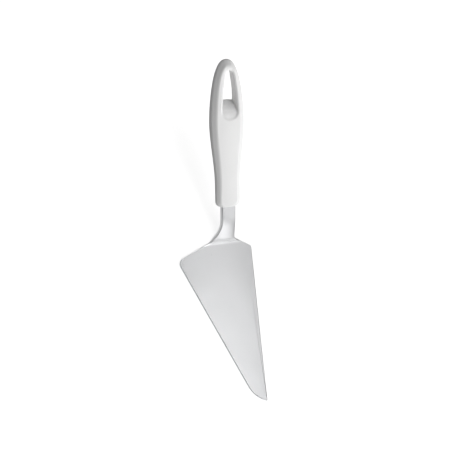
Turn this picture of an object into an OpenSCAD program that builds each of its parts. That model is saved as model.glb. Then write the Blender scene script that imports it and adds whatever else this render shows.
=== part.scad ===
// Cake server: a stamped sheet blade with a cranked channel neck, held in a hollow moulded handle.
// Frame: +X towards the blade tip, +Y towards the straight edge, Z up from the blade's underside, in mm.

/* [Blade] */
// Thickness of the sheet
sheet = 1.5; // [1:0.1:1.8]
// From the crease to the tip
blade_length = 124; // [105:1:140]
// Tip's distance from the handle's axis, towards the straight edge
tip_offset = 8.6; // [5:0.1:12]
// Radius of the curve that runs into the tip
tip_radius = 22; // [16:1:28]
// Direction of that curve at the tip
tip_turn = 70; // [62:1:76]
// Rear corner of the wide side: its distance from the axis
wide_reach = 43.2; // [36:0.1:48]
// Rear corner of the wide side: how far it lies beyond the crease
wide_set = 9; // [6:0.5:14]
// Rounding of that corner
wide_corner_radius = 5.5; // [3:0.5:8]
// Rear corner of the straight edge: its distance from the axis
straight_reach = 18.5; // [16:0.1:23]
// Rear corner of the straight edge: how far it lies beyond the crease
straight_set = 4.5; // [2.5:0.5:7]
// Rounding of that corner
straight_corner_radius = 1.5; // [0.6:0.1:2.4]
// From the crease to the frame's origin, under the blade
datum = 45; // [35:1:60]

/* [Neck] */
// Width over the channel's flanks
neck_width = 12.2; // [11:0.2:12.8]
// Length along the neck from the crease to the handle
neck_length = 29.5; // [26:0.5:34]
// Slope of the riser above the blade
rise_angle = 38; // [34:1:42]
// Length of the riser
rise_length = 7; // [5:0.5:9]
// Inner radius of the bend at the crease
crease_radius = 7; // [5:0.5:8]
// Radius of the bend from the riser into the handle's line
hump_radius = 50; // [30:1:55]
// Angle the channel's flanks are turned down by
flank_angle = 82; // [70:1:86]
// Radius along the channel's top edges
flank_radius = 2; // [1.9:0.1:2.2]
// Straight part of each flank
flank_length = 1.5; // [1.4:0.1:2.4]
// Length over which the flanks form, from the crease
flank_run = 20; // [16:0.5:24]
// Where the wide shoulder meets the neck, above the crease
wide_root = 5.6; // [4.8:0.1:6.5]
// Fillet between the neck and the wide shoulder
wide_fillet = 17; // [13:0.5:18.5]
// Where the straight side's shoulder meets the neck, above the crease
straight_root = 3.4; // [2.6:0.1:5]

/* [Tang] */
// Length inside the handle
tang_length = 60; // [57:1:63]
// Width of the flat part
tang_width = 11; // [10:0.2:11.4]
// Length over which the channel flattens out
tang_run = 12; // [9:0.5:13]
// Diameter of the two peg holes
tang_hole = 5; // [4.6:0.1:5.6]

/* [Handle] */
// Slope of the handle above the blade
handle_angle = 26; // [20:1:30]
// Length of the handle
handle_length = 113; // [108:1:120]
// Width at the neck end
root_width = 20; // [19:0.1:21]
// Width at the widest place
grip_width = 27.7; // [26:0.1:29]
// Height of the flat front over the widest line at the neck end
root_front = 3.7; // [3.6:0.1:4.2]
// Depth of the back under the widest line at the neck end
root_back = 4.5; // [4.2:0.1:5.5]
// Height of the flat front over the widest line at the widest place
grip_front = 5.1; // [4.6:0.1:5.8]
// Depth of the back under the widest line at the widest place
grip_back = 7.9; // [7.4:0.1:9]
// Height of the flat front over the widest line beside the eyelet
eye_front = 4.9; // [4.4:0.1:5.6]
// Depth of the back under the widest line beside the eyelet
eye_back = 5; // [4.4:0.1:6.4]
// Slope of the shoulders between the sides and the flat front
shoulder_slope = 36; // [32:1:42]
// Radius across the flat front
face_radius = 120; // [80:5:200]
// Height of the neck's crown over the widest line
crown_height = 2; // [1.8:0.1:2.2]
// Exponent of the back's section: 2 is an ellipse, larger has tighter edges
squareness = 2.1; // [2:0.1:2.8]
// Wall of the hollow grip
wall = 1.8; // [1.5:0.1:2.2]
// Free space between parts that are put together
clearance = 0.2; // [0.1:0.05:0.3]

/* [Eyelet] */
// Radius of the opening at its wide end
eye_radius = 5.65; // [5.2:0.05:6.5]
// Radius half way up
eye_mid_radius = 4.65; // [4.2:0.05:5.5]
// Radius at the narrow end
eye_end_radius = 2.65; // [2.4:0.05:3.5]
// How far the opening is set off the middle, towards the straight side of the blade
eye_side = 0.85; // [0:0.05:1.2]
// Rounding of the opening's edge on the front
eye_edge = 2.6; // [1.6:0.1:3]
// Plastic left between the opening and the handle's end
eye_rim = 8.4; // [7.4:0.1:10]
// Length of the opening on the front
eye_length = 36.2; // [33:0.1:38]
// Radius of the ramp that rolls down into the opening
ramp_radius = 14.5; // [13:0.5:16]
// How far the ramp's centre lies before the opening's wide end
ramp_set = 1.4; // [0.8:0.1:2.4]

/* [Back cover] */
// Thickness of the cover
cover_thickness = 1.8; // [1.5:0.1:2]
// Border of the body left around the cover
cover_border = 4.2; // [3.6:0.1:4.8]
// Width of the ledge the cover sits on
ledge_width = 1.3; // [1:0.1:1.5]
// Thickness of that ledge
ledge_thickness = 1.2; // [1:0.1:1.5]
// Distance from the neck end to the cover
cover_start = 20; // [18:0.5:22]
// Length of the cover
cover_length = 44; // [40:0.5:46]
// Diameter of the pegs that lock the tang
peg = 4.4; // [4:0.1:4.5]
// Diameter of the posts the pegs stand on
post = 6.8; // [6:0.1:7]

/* [Hidden] */
overrun = 30;
per_turn = 180 / PI;
neck_half = neck_width / 2;
flank_arc = flank_radius * flank_angle / per_turn;
crease_arc = crease_radius * rise_angle / per_turn;
rise_end = crease_arc + rise_length;
hump_end = rise_end + hump_radius * (rise_angle - handle_angle) / per_turn;
tang_end = neck_length + tang_length;
arc_steps = 5;
corner_steps = 12;
back_steps = 8;
round_steps = 40;
// Shares of the neck's stretches at which its sections stand
crease_shares = [0, 0.2, 0.4, 0.6, 0.8];
neck_shares = [0, 0.07, 0.14, 0.21, 0.29, 0.38, 0.48, 0.6, 0.74, 0.88];
tang_shares = [0, 0.08, 0.14, 0.2, 0.27, 0.34, 0.42, 0.6, 0.8, 1];
// Shares of the handle's length at which its sections stand
handle_shares = [0, 0.003, 0.009, 0.017, 0.027, 0.039, 0.07, 0.11, 0.15, 0.2, 0.25, 0.3, 0.35, 0.4, 0.45, 0.5,
    0.55, 0.6, 0.65, 0.7, 0.74, 0.78, 0.82, 0.86, 0.89, 0.92, 0.945, 0.965, 0.98, 0.99, 0.997, 1];
hollow_shares = [0, 0.03, 0.08, 0.15, 0.25, 0.35, 0.45, 0.55, 0.65, 0.75, 0.85, 0.92, 0.97, 1];
// Where the handle swells, is widest and starts to close, and how sharply its ends close
swell_start_share = 0.153;
grip_share = 0.602;
eye_share = 0.85;
close_share = 0.495;
close_power = 2.35;
root_side_share = 0.165;
root_depth_share = 0.2;
root_round_share = 0.03;
peg_shares = [0.24, 0.78];
eye_mid_share = 0.58;
// Rounding of the sides into the shoulders, as a share of the front's height, and the heights its points stand at
side_round_share = 0.65;
level_shares = [0, 0.16, 0.3, 0.42, 0.53, 0.75, 1];
face_shares = [-0.5, 0, 0.5];
edge_shares = [0, 0.3, 0.6, 1];
whole_share = 0.9999;

function smooth(t) = let (x = max(0, min(1, t))) x * x * (3 - 2 * x);
function mix(a, b, t) = a + (b - a) * t;
function quarter(t) = sqrt(max(0, 1 - t * t));

// The neck's centre line, from the crease up into the handle
function path_angle(s) = s < crease_arc ? s / crease_radius * per_turn
    : s < rise_end ? rise_angle
    : s < hump_end ? rise_angle - (s - rise_end) / hump_radius * per_turn
    : handle_angle;
function path_at(s) = s <= crease_arc
    ? let (a = path_angle(s)) [-crease_radius * sin(a), sheet + crease_radius * (1 - cos(a))]
    : s <= rise_end
    ? path_at(crease_arc) + (s - crease_arc) * [-cos(rise_angle), sin(rise_angle)]
    : s <= hump_end
    ? let (a = path_angle(s)) path_at(rise_end)
        + hump_radius * [sin(a) - sin(rise_angle), cos(a) - cos(rise_angle)]
    : path_at(hump_end) + (s - hump_end) * [-cos(handle_angle), sin(handle_angle)];

// Half widths of the sheet on either side of the axis
wide_slope = atan2(wide_root + wide_set, wide_reach - neck_half);
fillet_tangent = wide_fillet * tan((90 - wide_slope) / 2);
fillet_start = wide_root + fillet_tangent;
fillet_end = wide_root - fillet_tangent * sin(wide_slope);
function tang_half(s) = mix(neck_half, tang_width / 2, smooth((s - neck_length) / tang_run));
function wide_half(s) = s > neck_length ? tang_half(s)
    : s > fillet_start ? neck_half
    : s > fillet_end ? neck_half + wide_fillet * (1 - quarter((fillet_start - s) / wide_fillet))
    : mix(neck_half, wide_reach, (wide_root - s) / (wide_root + wide_set));
function straight_half(s) = s > neck_length ? tang_half(s)
    : s > straight_root ? neck_half
    : mix(neck_half, straight_reach, (straight_root - s) / (straight_root + straight_set));
function turned(s) = flank_angle * (s < neck_length ? smooth(s / flank_run)
    : 1 - smooth((s - neck_length - tang_run / 4) / tang_run));

// One side of a section: distance from the axis, drop below the crown and slope, from the edge inwards
function side(s, half) = let (
        a = turned(s),
        r = a > 0 ? flank_arc / a * per_turn : 0,
        across = a > 0 ? r * sin(a) : flank_arc,
        down = a > 0 ? r * (1 - cos(a)) : 0,
        crown = half - across - flank_length * cos(a))
    concat([[half, down + flank_length * sin(a), a]],
        [for (j = [arc_steps:-1:0]) let (b = a * j / arc_steps)
            [crown + (a > 0 ? r * sin(b) : flank_arc * j / arc_steps), a > 0 ? r * (1 - cos(b)) : 0, b]]);
function reversed(list) = [for (i = [len(list) - 1:-1:0]) list[i]];
function placed(s, y, drop) = let (p = path_at(s), a = path_angle(s))
    [p[0] - drop * sin(a), y, p[1] - drop * cos(a)];
function neck_section(s) = let (
        wide = side(s, wide_half(s)),
        straight = reversed(side(s, straight_half(s))),
        top = concat([for (q = wide) [-q[0], q[1], -q[2]]], straight))
    concat([for (q = top) placed(s, q[0], q[1])],
        [for (q = reversed(top)) placed(s, q[0] - sheet * sin(q[2]), q[1] + sheet * cos(q[2]))]);
neck_stations = concat(
    [for (f = crease_shares) f * straight_root],
    [for (f = neck_shares) mix(straight_root, neck_length, f)],
    [for (f = tang_shares) mix(neck_length, tang_end, f)]);

module neck_and_tang() {
    rings = [for (s = neck_stations) neck_section(s)];
    n = len(rings[0]);
    m = len(rings);
    half = n / 2;
    walls = [for (i = [0:m - 2], j = [0:n - 1]) each let (a = i * n + j, b = i * n + (j + 1) % n)
        [[a, b + n, b], [a, a + n, b + n]]];
    caps = [for (j = [0:half - 2]) each let (a = j, b = j + 1, c = n - 2 - j, d = n - 1 - j, e = (m - 1) * n)
        [[a, b, c], [a, c, d], [e + a, e + c, e + b], [e + a, e + d, e + c]]];
    polyhedron(points = [for (r = rings) each r], faces = concat(walls, caps), convexity = 6);
}

// The flat blade's outline
wide_corner = [wide_set, -wide_reach];
straight_corner = [straight_set, straight_reach];
tip = [blade_length, tip_offset];
tip_centre = tip + tip_radius * [-sin(tip_turn), cos(tip_turn)];
to_centre = tip_centre - wide_corner;
edge_turn = atan2(to_centre[1], to_centre[0]) - asin(tip_radius / norm(to_centre));
function arc(c, r, from, to, steps) = [for (i = [0:steps]) let (a = mix(from, to, i / steps)) c + r * [cos(a), sin(a)]];
function unit(v) = v / norm(v);
function rounded(before, corner, after, r) = let (
        p = unit(before - corner),
        q = unit(after - corner),
        half = acos(p * q) / 2,
        c = corner + unit(p + q) * r / sin(half),
        from = corner + p * r / tan(half) - c,
        to = corner + q * r / tan(half) - c,
        a = atan2(from[1], from[0]),
        sweep = 180 - 2 * half)
    arc(c, r, a, a + sweep, corner_steps);

module plate() {
    linear_extrude(height = sheet)
        polygon(concat(
            [[0, -wide_half(0)]],
            rounded([0, -wide_half(0)], wide_corner, wide_corner + [cos(edge_turn), sin(edge_turn)], wide_corner_radius),
            arc(tip_centre, tip_radius, edge_turn - 90, tip_turn - 90, 2 * corner_steps),
            rounded(tip, straight_corner, [0, straight_half(0)], straight_corner_radius),
            [[0, straight_half(0)]]));
}

module blade() {
    color([0.78, 0.78, 0.8]) translate([-datum, 0, 0]) difference() {
        union() {
            plate();
            neck_and_tang();
        }
        for (f = peg_shares) translate(in_row(cover_start + f * cover_length, 0))
            rotate([0, handle_angle, 0]) cylinder(d = tang_hole, h = overrun, center = true, $fn = round_steps);
    }
}

// The handle: u from its neck end, across, and w from its mid plane to the front
root = path_at(neck_length) - crown_height * [sin(handle_angle), cos(handle_angle)];
function in_row(u, w) = [root[0] - u * cos(handle_angle) + w * sin(handle_angle), 0,
    root[1] + u * sin(handle_angle) + w * cos(handle_angle)];
module in_handle() {
    translate([root[0] - datum, 0, root[1]]) rotate([0, handle_angle, 0]) rotate([0, 0, 180]) children();
}
function at_root(u) = quarter((root_round_share * handle_length - min(u, root_round_share * handle_length))
    / (root_round_share * handle_length));
close_start = close_share * handle_length;
close_length = handle_length - close_start;
function half_width(u) = mix(root_width, grip_width,
        smooth((u / handle_length - swell_start_share) / (grip_share - swell_start_share))) / 2
    * mix(1 - root_side_share * 2, 1, at_root(u));
function swell(u, a, b, c) = u < grip_share * handle_length
    ? mix(a, b, smooth(u / handle_length / grip_share))
    : mix(b, c, smooth((u / handle_length - grip_share) / (eye_share - grip_share)));
function depth_end(u) = mix(1 - root_depth_share, 1, at_root(u));
function front(u) = swell(u, root_front, grip_front, eye_front) * depth_end(u);
function back(u) = swell(u, root_back, grip_back, eye_back) * depth_end(u);

// How far the side leans in at a height, and back, both as shares of the front's height
side_lean = 90 - shoulder_slope;
bend_top = side_round_share * sin(side_lean);
bend_in = side_round_share * (1 - cos(side_lean));
function leant(t) = t < bend_top ? side_round_share * (1 - quarter(t / side_round_share))
    : bend_in + (t - bend_top) * tan(side_lean);
function height_at(q) = q < bend_in ? side_round_share * quarter(1 - q / side_round_share)
    : bend_top + (q - bend_in) / tan(side_lean);

// A section across the handle: half width, front height and back depth, closed in towards the handle's end
function past(u) = max(0, u - close_start);
function closed(u, inset) = let (t = past(u) / (close_length - inset))
    t > whole_share ? 0 : pow(1 - pow(t, close_power), 1 / close_power);
function front_point(u, a, f, t) = let (q = f * leant(t), v = (a - q) * closed(u, q))
    [v, min(t * f, f - v * v / (2 * face_radius))];
function back_point(u, a, b, angle) = let (
        far = past(u) / close_length,
        d = sin(angle) * pow(max(0, 1 - pow(far, squareness)), 1 / squareness),
        wide = pow(max(0, 1 - pow(d, squareness)), 1 / squareness))
    [a * pow(max(0, pow(wide, close_power) - pow(far, close_power)), 1 / close_power), -b * d];
function section(u, a, f, b) = let (
        room = past(u) > 0 ? min(1, height_at((handle_length - u) / f)) : 1,
        fronts = [for (t = level_shares) front_point(u, a, f, t * room)],
        edge = fronts[len(fronts) - 1],
        backs = [for (i = [1:back_steps - 1]) back_point(u, a, b, 90 * i / back_steps)])
    concat([for (p = fronts) [u, p[0], p[1]]],
        [for (s = face_shares) [u, edge[0] * s, edge[1] + edge[0] * edge[0] * (1 - s * s) / (2 * face_radius)]],
        [for (p = fronts) [u, -p[0], p[1]]],
        [for (p = backs) [u, p[0], p[1]]],
        [for (p = backs) [u, -p[0], p[1]]],
        [[u, 0, back_point(u, a, b, 90)[1]]]);

// A skin over convex sections, one length after another
module lofted(sections) {
    for (i = [0:len(sections) - 2])
        hull() polyhedron(points = concat(sections[i], sections[i + 1]),
            faces = [[for (j = [0:2 * len(sections[i]) - 1]) j]]);
}
module outer() {
    lofted([for (f = handle_shares) let (u = f * handle_length) section(u, half_width(u), front(u), back(u))]);
}
module inner(from, to, side_inset, front_inset, back_inset) {
    lofted([for (f = hollow_shares) let (u = mix(from, to, f))
        section(u, half_width(u) - side_inset, front(u) - front_inset, back(u) - back_inset)]);
}

// The eyelet's opening, with the ramp left standing at its wide end
eye_top = handle_length - eye_rim;
eye_bottom = eye_top - eye_length;
eye_spots = [[eye_bottom + eye_radius, eye_radius], [mix(eye_bottom, eye_top, eye_mid_share), eye_mid_radius],
    [eye_top - eye_end_radius, eye_end_radius]];
eye_lip = eye_front - pow(eye_mid_radius + eye_side + eye_edge, 2) / (2 * face_radius);
function eye_ring(grow, w) = [for (s = eye_spots, i = [1:round_steps]) let (a = 360 * i / round_steps)
    [s[0] + (s[1] + grow) * cos(a), (s[1] + grow) * sin(a) - eye_side, w]];
function edge_grow(f) = eye_edge * (1 - cos(90 * f));
function edge_level(f) = eye_lip - eye_edge * (1 - sin(90 * f));
module eye() {
    difference() {
        lofted(concat([eye_ring(0, -overrun)],
            [for (f = edge_shares) eye_ring(edge_grow(f), edge_level(f))],
            [eye_ring(eye_edge, overrun)]));
        translate([eye_bottom - ramp_set, 0, front(eye_bottom) - ramp_radius])
            rotate([90, 0, 0]) cylinder(r = ramp_radius, h = 2 * overrun, center = true, $fn = 3 * round_steps);
    }
}

cover_end = cover_start + cover_length;
module cover_outline(shrink) {
    offset(r = cover_border - shrink, $fn = round_steps) offset(delta = -cover_border) polygon(concat(
        [for (f = hollow_shares) let (u = mix(cover_start, cover_end, f)) [u, cover_border - half_width(u)]],
        reversed([for (f = hollow_shares) let (u = mix(cover_start, cover_end, f)) [u, half_width(u) - cover_border]])));
}
module backwards(shrink) {
    translate([0, 0, -overrun]) linear_extrude(height = overrun) cover_outline(shrink);
}
pegs_at = [for (f = peg_shares) cover_start + f * cover_length];
tang_top = crown_height;
tang_under = crown_height - sheet;
pocket_depth = cover_thickness + clearance;

module handle_body() {
    color([0.95, 0.95, 0.95]) in_handle() difference() {
        outer();
        eye();
        difference() {
            inner(cover_start - wall, cover_end + wall, wall, wall, pocket_depth + ledge_thickness);
            for (u = pegs_at) translate([u, 0, tang_top + clearance]) cylinder(d = post, h = overrun, $fn = round_steps);
        }
        for (u = pegs_at) translate([u, 0, tang_top])
            cylinder(d = peg + 2 * clearance, h = root_front - wall / 2 - tang_top, $fn = round_steps);
        difference() {
            backwards(0);
            inner(cover_start - 2 * wall, cover_end + 2 * wall, pocket_depth, pocket_depth, pocket_depth);
        }
        backwards(ledge_width);
        translate([cover_start, 0, tang_top + clearance]) rotate([0, -90, 0])
            linear_extrude(height = cover_start + overrun) neck_slot();
    }
}
flank_drop = flank_radius * (1 - cos(flank_angle)) + flank_length * sin(flank_angle);
slot_half = neck_half + clearance;
slot_depth = flank_drop + sheet / 4 + 2 * clearance;
slot_round = flank_radius + clearance;
module neck_slot() {
    hull() {
        for (m = [-1, 1]) translate([-slot_round, m * (slot_half - slot_round)]) circle(r = slot_round, $fn = round_steps);
        translate([-slot_depth, -slot_half]) square([slot_depth - slot_round, 2 * slot_half]);
    }
}

module handle_back_cover() {
    color([0.93, 0.93, 0.93]) in_handle() {
        intersection() {
            difference() {
                outer();
                inner(cover_start - 2 * wall, cover_end + 2 * wall, cover_thickness, cover_thickness, cover_thickness);
            }
            backwards(clearance);
        }
        for (u = pegs_at) {
            translate([u, 0, cover_thickness / 2 - back(u)])
                cylinder(d = post, h = back(u) - cover_thickness / 2 + tang_under - clearance, $fn = round_steps);
            translate([u, 0, 0])
                cylinder(d = peg, h = root_front - wall / 2 - clearance, $fn = round_steps);
        }
    }
}

blade();
handle_body();
handle_back_cover();
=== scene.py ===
import math

import bmesh
import bpy
import numpy as np
from mathutils import Matrix, Vector


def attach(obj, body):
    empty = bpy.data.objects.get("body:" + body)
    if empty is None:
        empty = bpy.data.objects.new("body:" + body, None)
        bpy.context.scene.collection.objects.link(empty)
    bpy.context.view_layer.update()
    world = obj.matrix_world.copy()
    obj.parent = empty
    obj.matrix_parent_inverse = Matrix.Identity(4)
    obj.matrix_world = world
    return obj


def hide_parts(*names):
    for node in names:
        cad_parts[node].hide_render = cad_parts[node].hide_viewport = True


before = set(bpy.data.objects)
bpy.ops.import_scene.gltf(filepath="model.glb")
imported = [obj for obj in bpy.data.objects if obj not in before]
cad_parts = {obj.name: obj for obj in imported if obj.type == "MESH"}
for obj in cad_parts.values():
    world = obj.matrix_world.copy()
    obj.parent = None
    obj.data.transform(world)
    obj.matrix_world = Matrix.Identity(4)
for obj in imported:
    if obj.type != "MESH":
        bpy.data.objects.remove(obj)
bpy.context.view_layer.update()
scene = bpy.context.scene
scene.view_settings.view_transform = "Standard"
print("frame loaded:", sorted(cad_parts))

# Sizes in millimetres: +X runs to the tip, +Y to the straight edge, Z up from the blade's underside
slopeOfHandle = math.radians(26.0)
creaseX = -45.0
millimetre = 0.001

# Camera, at the photograph's angle
view = {
    "pivot": (-0.045, 0.0, 0.0015),  # middle of the crease
    "pivotPixel": (228.25, 242.7),
    "imageSize": 466,
    "pixelsPerMetre": 1299.0,
    "distance": 1.0,
    "turn": math.radians(22.0),
    "tilt": math.radians(-17.0),
    "roll": math.radians(0.8),
    "sensor": 36.0,
    "clipStart": 0.01,
}


def placeCamera():
    acrossHandle = Vector((0, 1, 0))
    outOfHandle = Vector((math.sin(slopeOfHandle), 0, math.cos(slopeOfHandle)))
    downHandle = Vector((math.cos(slopeOfHandle), 0, -math.sin(slopeOfHandle)))
    flat = math.cos(view["tilt"])
    towards = outOfHandle * math.cos(view["turn"]) * flat - acrossHandle * math.sin(view["turn"]) * flat
    towards += downHandle * math.sin(view["tilt"])
    down = (downHandle - towards * downHandle.dot(towards)).normalized()
    right = (-down).cross(towards)
    turned = right * math.cos(view["roll"]) + down * math.sin(view["roll"])
    down = down * math.cos(view["roll"]) - right * math.sin(view["roll"])
    right = turned
    pivot = Vector(view["pivot"])
    middle = view["imageSize"] / 2
    offRight = (middle - view["pivotPixel"][0]) / view["pixelsPerMetre"]
    offDown = (middle - view["pivotPixel"][1]) / view["pixelsPerMetre"]
    place = pivot + towards * view["distance"]
    ahead = (pivot + right * offRight + down * offDown - place).normalized()
    side = ahead.cross(-down).normalized()
    up = side.cross(ahead)
    lens = bpy.data.cameras.new("camera")
    lens.sensor_width = view["sensor"]
    lens.lens = view["sensor"] * view["pixelsPerMetre"] * view["distance"] / view["imageSize"]
    lens.clip_start = view["clipStart"]
    camera = bpy.data.objects.new("camera", lens)
    columns = (side, up, -ahead, place)
    camera.matrix_world = Matrix([[c[i] for c in columns] for i in range(3)] + [[0, 0, 0, 1]])
    scene.collection.objects.link(camera)
    scene.camera = camera


placeCamera()
print("camera placed")


def newObject(name, mesh, material=None):
    made = bpy.data.objects.new(name, mesh)
    scene.collection.objects.link(made)
    if material:
        mesh.materials.append(material)
    return made


def finished(made, finish):
    bpy.context.view_layer.update()
    graph = bpy.context.evaluated_depsgraph_get()
    mesh = bpy.data.meshes.new_from_object(made.evaluated_get(graph))
    made.modifiers.clear()
    made.data = mesh
    mesh.name = made.name
    mesh.materials.clear()  # the cutting tools leave an empty slot
    mesh.materials.append(finish)
    mesh.polygons.foreach_set("material_index", np.zeros(len(mesh.polygons), int))
    return mesh


def inputId(tree, name):
    return next(s.identifier for s in tree.interface.items_tree if s.name == name and s.in_out == "INPUT")


# A number in a node tree, so that a rule reads as plain arithmetic
class Term:
    def __init__(self, tree, socket):
        self.tree = tree
        self.socket = socket

    def calc(self, operation, *values):
        node = self.tree.nodes.new("ShaderNodeMath")
        node.operation = operation
        for place, value in zip(node.inputs, values):
            if isinstance(value, Term):
                self.tree.links.new(value.socket, place)
            else:
                place.default_value = value
        return Term(self.tree, node.outputs[0])

    def __add__(self, other):
        return self.calc("ADD", self, other)

    def __sub__(self, other):
        return self.calc("SUBTRACT", self, other)

    def __rsub__(self, other):
        return self.calc("SUBTRACT", other, self)

    def __mul__(self, other):
        return self.calc("MULTIPLY", self, other)

    def __truediv__(self, other):
        return self.calc("DIVIDE", self, other)

    def __rtruediv__(self, other):
        return self.calc("DIVIDE", other, self)

    def __pow__(self, other):
        return self.calc("POWER", self, other)

    def __neg__(self):
        return self.calc("MULTIPLY", self, -1.0)

    def __abs__(self):
        return self.calc("ABSOLUTE", self)


def most(a, b):
    return (a if isinstance(a, Term) else b).calc("MAXIMUM", a, b)


def least(a, b):
    return (a if isinstance(a, Term) else b).calc("MINIMUM", a, b)


def root(a):
    return a.calc("SQRT", a)


def sine(a):
    return a.calc("SINE", a)


def tangent(a):
    return a.calc("TANGENT", a)


def above(a, limit):
    return a.calc("GREATER_THAN", a, limit)


def mix(a, b, share):
    return a + (b - a) * share


def ease(t):
    held = least(most(t, 0.0), 1.0)
    return held * held * (3.0 - held * 2.0)


def roundMost(a, b, radius):  # the larger of the two, with the edge between them rounded
    outA = most(a + radius, 0.0)
    outB = most(b + radius, 0.0)
    return least(most(a, b), -radius) + root(outA * outA + outB * outB)


# Handle: u runs from its neck end, v across it and w from its mid plane to the front
handle = {
    "length": 112.9,
    "rootWidth": 20.0,
    "gripWidth": 27.7,
    "rootFace": 3.7,  # heights of the flat face over the widest line
    "gripFace": 5.1,
    "eyeFace": 4.9,
    "rootBack": 4.5,
    "gripBack": 7.9,
    "eyeBack": 5.0,
    "backPower": 2.1,
    "shoulderSlope": 36.0,
    "shoulderRound": 0.65,
    "faceRadius": 120.0,
    "faceEdge": 0.7,
    "swellShare": 0.153,
    "gripShare": 0.602,
    "eyeShare": 0.85,
    "closeShare": 0.495,
    "closePower": 2.35,
    "rootRound": 4.8,
    "rootEdge": 0.9,
    "eyeSide": -1.2,  # the opening sits a little towards the straight edge's side
    "eyeRadius": 5.85,
    "eyeMidRadius": 4.65,
    "eyeEndRadius": 2.65,
    "eyeBottom": 68.4,
    "eyeTop": 104.6,
    "eyeMidShare": 0.58,
    "eyeFrontEdge": 2.1,
    "eyeBackEdge": 1.0,
    "rampTop": 5.55,
    "rampStart": 66.0,
    "rampLong": 16.5,
    "rampDeep": 16.5,
    "rampFillet": 0.8,
    "rampBow": 35.0,
}
handlePlace = {
    "origin": (-26.205, 0.0, 14.273),  # its neck end on the mid plane, from the crease
    "cell": 0.42,
    "margin": 1.2,
    "probe": 0.04,
    "evenSteps": 2,
    "lipStart": -3.0,  # the eyelet's lip grows from back to front, from here
    "lipRun": 5.0,
    "skinNear": 0.03,  # a face this near the rule takes its normals
    "skinAgree": 0.6,
}
leastOf = {"across": 0.5, "wide": 0.001, "steep": 0.015, "slope": 0.01}  # keeps divisions away from zero
cover = {
    "start": 20.0,
    "length": 44.0,
    "border": 4.2,
    "thickness": 1.8,
    "ledge": 1.3,
    "clearance": 0.2,
    "edge": 0.4,
    "postRadius": 3.4,
    "pegRadius": 2.2,
    "pegShares": (0.24, 0.78),
    "tangTop": 2.0,
    "sheet": 1.5,
    "pegTop": 2.6,
    "pegSides": 48,
    "cell": 0.25,
    "backShare": 0.955,  # the back over the recess's edge, as a share of its middle
    "cutDepth": 15.0,
    "cornerSteps": 12,
    "runSteps": 30,
}
neckSlot = {
    "halfWidth": 6.3,
    "top": 2.2,
    "bottom": -1.78,
    "round": 2.2,
    "roundSteps": 10,
    "lead": 5.0,
    "length": 61.0,
    "socketTop": 2.8,
}


def newTree(name, sizes, outputs):
    tree = bpy.data.node_groups.new(name, "GeometryNodeTree")
    for label, value in sizes.items():
        socket = tree.interface.new_socket(label, in_out="INPUT", socket_type="NodeSocketFloat")
        socket.default_value = value
    for label, kind in outputs.items():
        tree.interface.new_socket(label, in_out="OUTPUT", socket_type=kind)
    return tree


def halfWidth(size, u):
    run = (u / size["length"] - size["swellShare"]) / (size["gripShare"] - size["swellShare"])
    return mix(size["rootWidth"], size["gripWidth"], ease(run)) * 0.5


def skinRule(size, u, v, w):
    share = u / size["length"]
    half = halfWidth(size, u)
    early = ease(share / size["gripShare"])
    late = ease((share - size["gripShare"]) / (size["eyeShare"] - size["gripShare"]))
    high = mix(mix(size["rootFace"], size["gripFace"], early), size["eyeFace"], late)
    back = mix(mix(size["rootBack"], size["gripBack"], early), size["eyeBack"], late)
    # The side leans in above the widest line: an arc, then a straight shoulder, alike all round the outline
    lean = math.radians(90.0) - size["shoulderSlope"] * math.radians(1.0)
    arc = size["shoulderRound"]
    rise = most(w, 0.0) / high
    bent = least(rise, arc * sine(lean))
    inset = (arc - root(most(arc * arc - bent * bent, 0.0)) + (rise - bent) * tangent(lean)) * high
    across = most(half - inset, leastOf["across"])
    along = most(size["length"] * (1.0 - size["closeShare"]) - inset, leastOf["across"])
    power = size["closePower"]
    side = abs(v) / across
    closing = most(u - size["length"] * size["closeShare"], 0.0) / along
    wide = most((side ** power + closing ** power) ** (1.0 / power), leastOf["wide"])
    sideTurn = (side / wide) ** (power - 1.0) / across
    endTurn = (closing / wide) ** (power - 1.0) / along
    steep = most(root(sideTurn * sideTurn + endTurn * endTurn), leastOf["steep"])
    deep = most(-w, 0.0) / back
    oval = (wide ** size["backPower"] + deep ** size["backPower"]) ** (1.0 / size["backPower"])
    wall = roundMost((oval - 1.0) / steep, -u, size["rootRound"])
    face = roundMost(w - high + v * v / (size["faceRadius"] * 2.0), -u, size["rootEdge"])
    return roundMost(wall, face, size["faceEdge"]), (oval - 1.0) * back


def taperedSlot(u, v, fromU, fromRadius, toU, toRadius):
    run = toU - fromU
    lean = (fromRadius - toRadius) / run
    steep = root(1.0 - lean * lean)
    along = u - fromU
    side = abs(v)
    far = u - toU
    nearEnd = root(side * side + along * along) - fromRadius
    farEnd = root(side * side + far * far) - toRadius
    between = side * steep + along * lean - fromRadius
    place = along * steep - side * lean
    isPastStart = above(place, 0.0)
    isPastEnd = above(place, steep * run)
    return mix(mix(nearEnd, between, isPastStart), farEnd, isPastEnd)


def eyeRule(size, u, v, w):
    middle = mix(size["eyeBottom"], size["eyeTop"], size["eyeMidShare"])
    first = size["eyeBottom"] + size["eyeRadius"]
    last = size["eyeTop"] - size["eyeEndRadius"]
    low = taperedSlot(u, v, first, size["eyeRadius"], middle, size["eyeMidRadius"])
    high = taperedSlot(u, v, middle, size["eyeMidRadius"], last, size["eyeEndRadius"])
    slot = least(low, high)
    rampU = (u - size["rampStart"]) / size["rampLong"]
    rampW = (w + v * v / (size["rampBow"] * 2.0) - size["rampTop"]) / size["rampDeep"] + 1.0
    ramp = (root(rampU * rampU + rampW * rampW) - 1.0) * size["rampDeep"]
    return roundMost(slot, -ramp, size["rampFillet"])


def coverOutline(size, u, v, shrink):
    side = abs(v) - (halfWidth(size, u) - (cover["border"] + shrink))
    middle = cover["start"] + cover["length"] / 2
    end = abs(u - middle) - (cover["length"] / 2 - shrink)
    return roundMost(side, end, cover["border"] - shrink)


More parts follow.
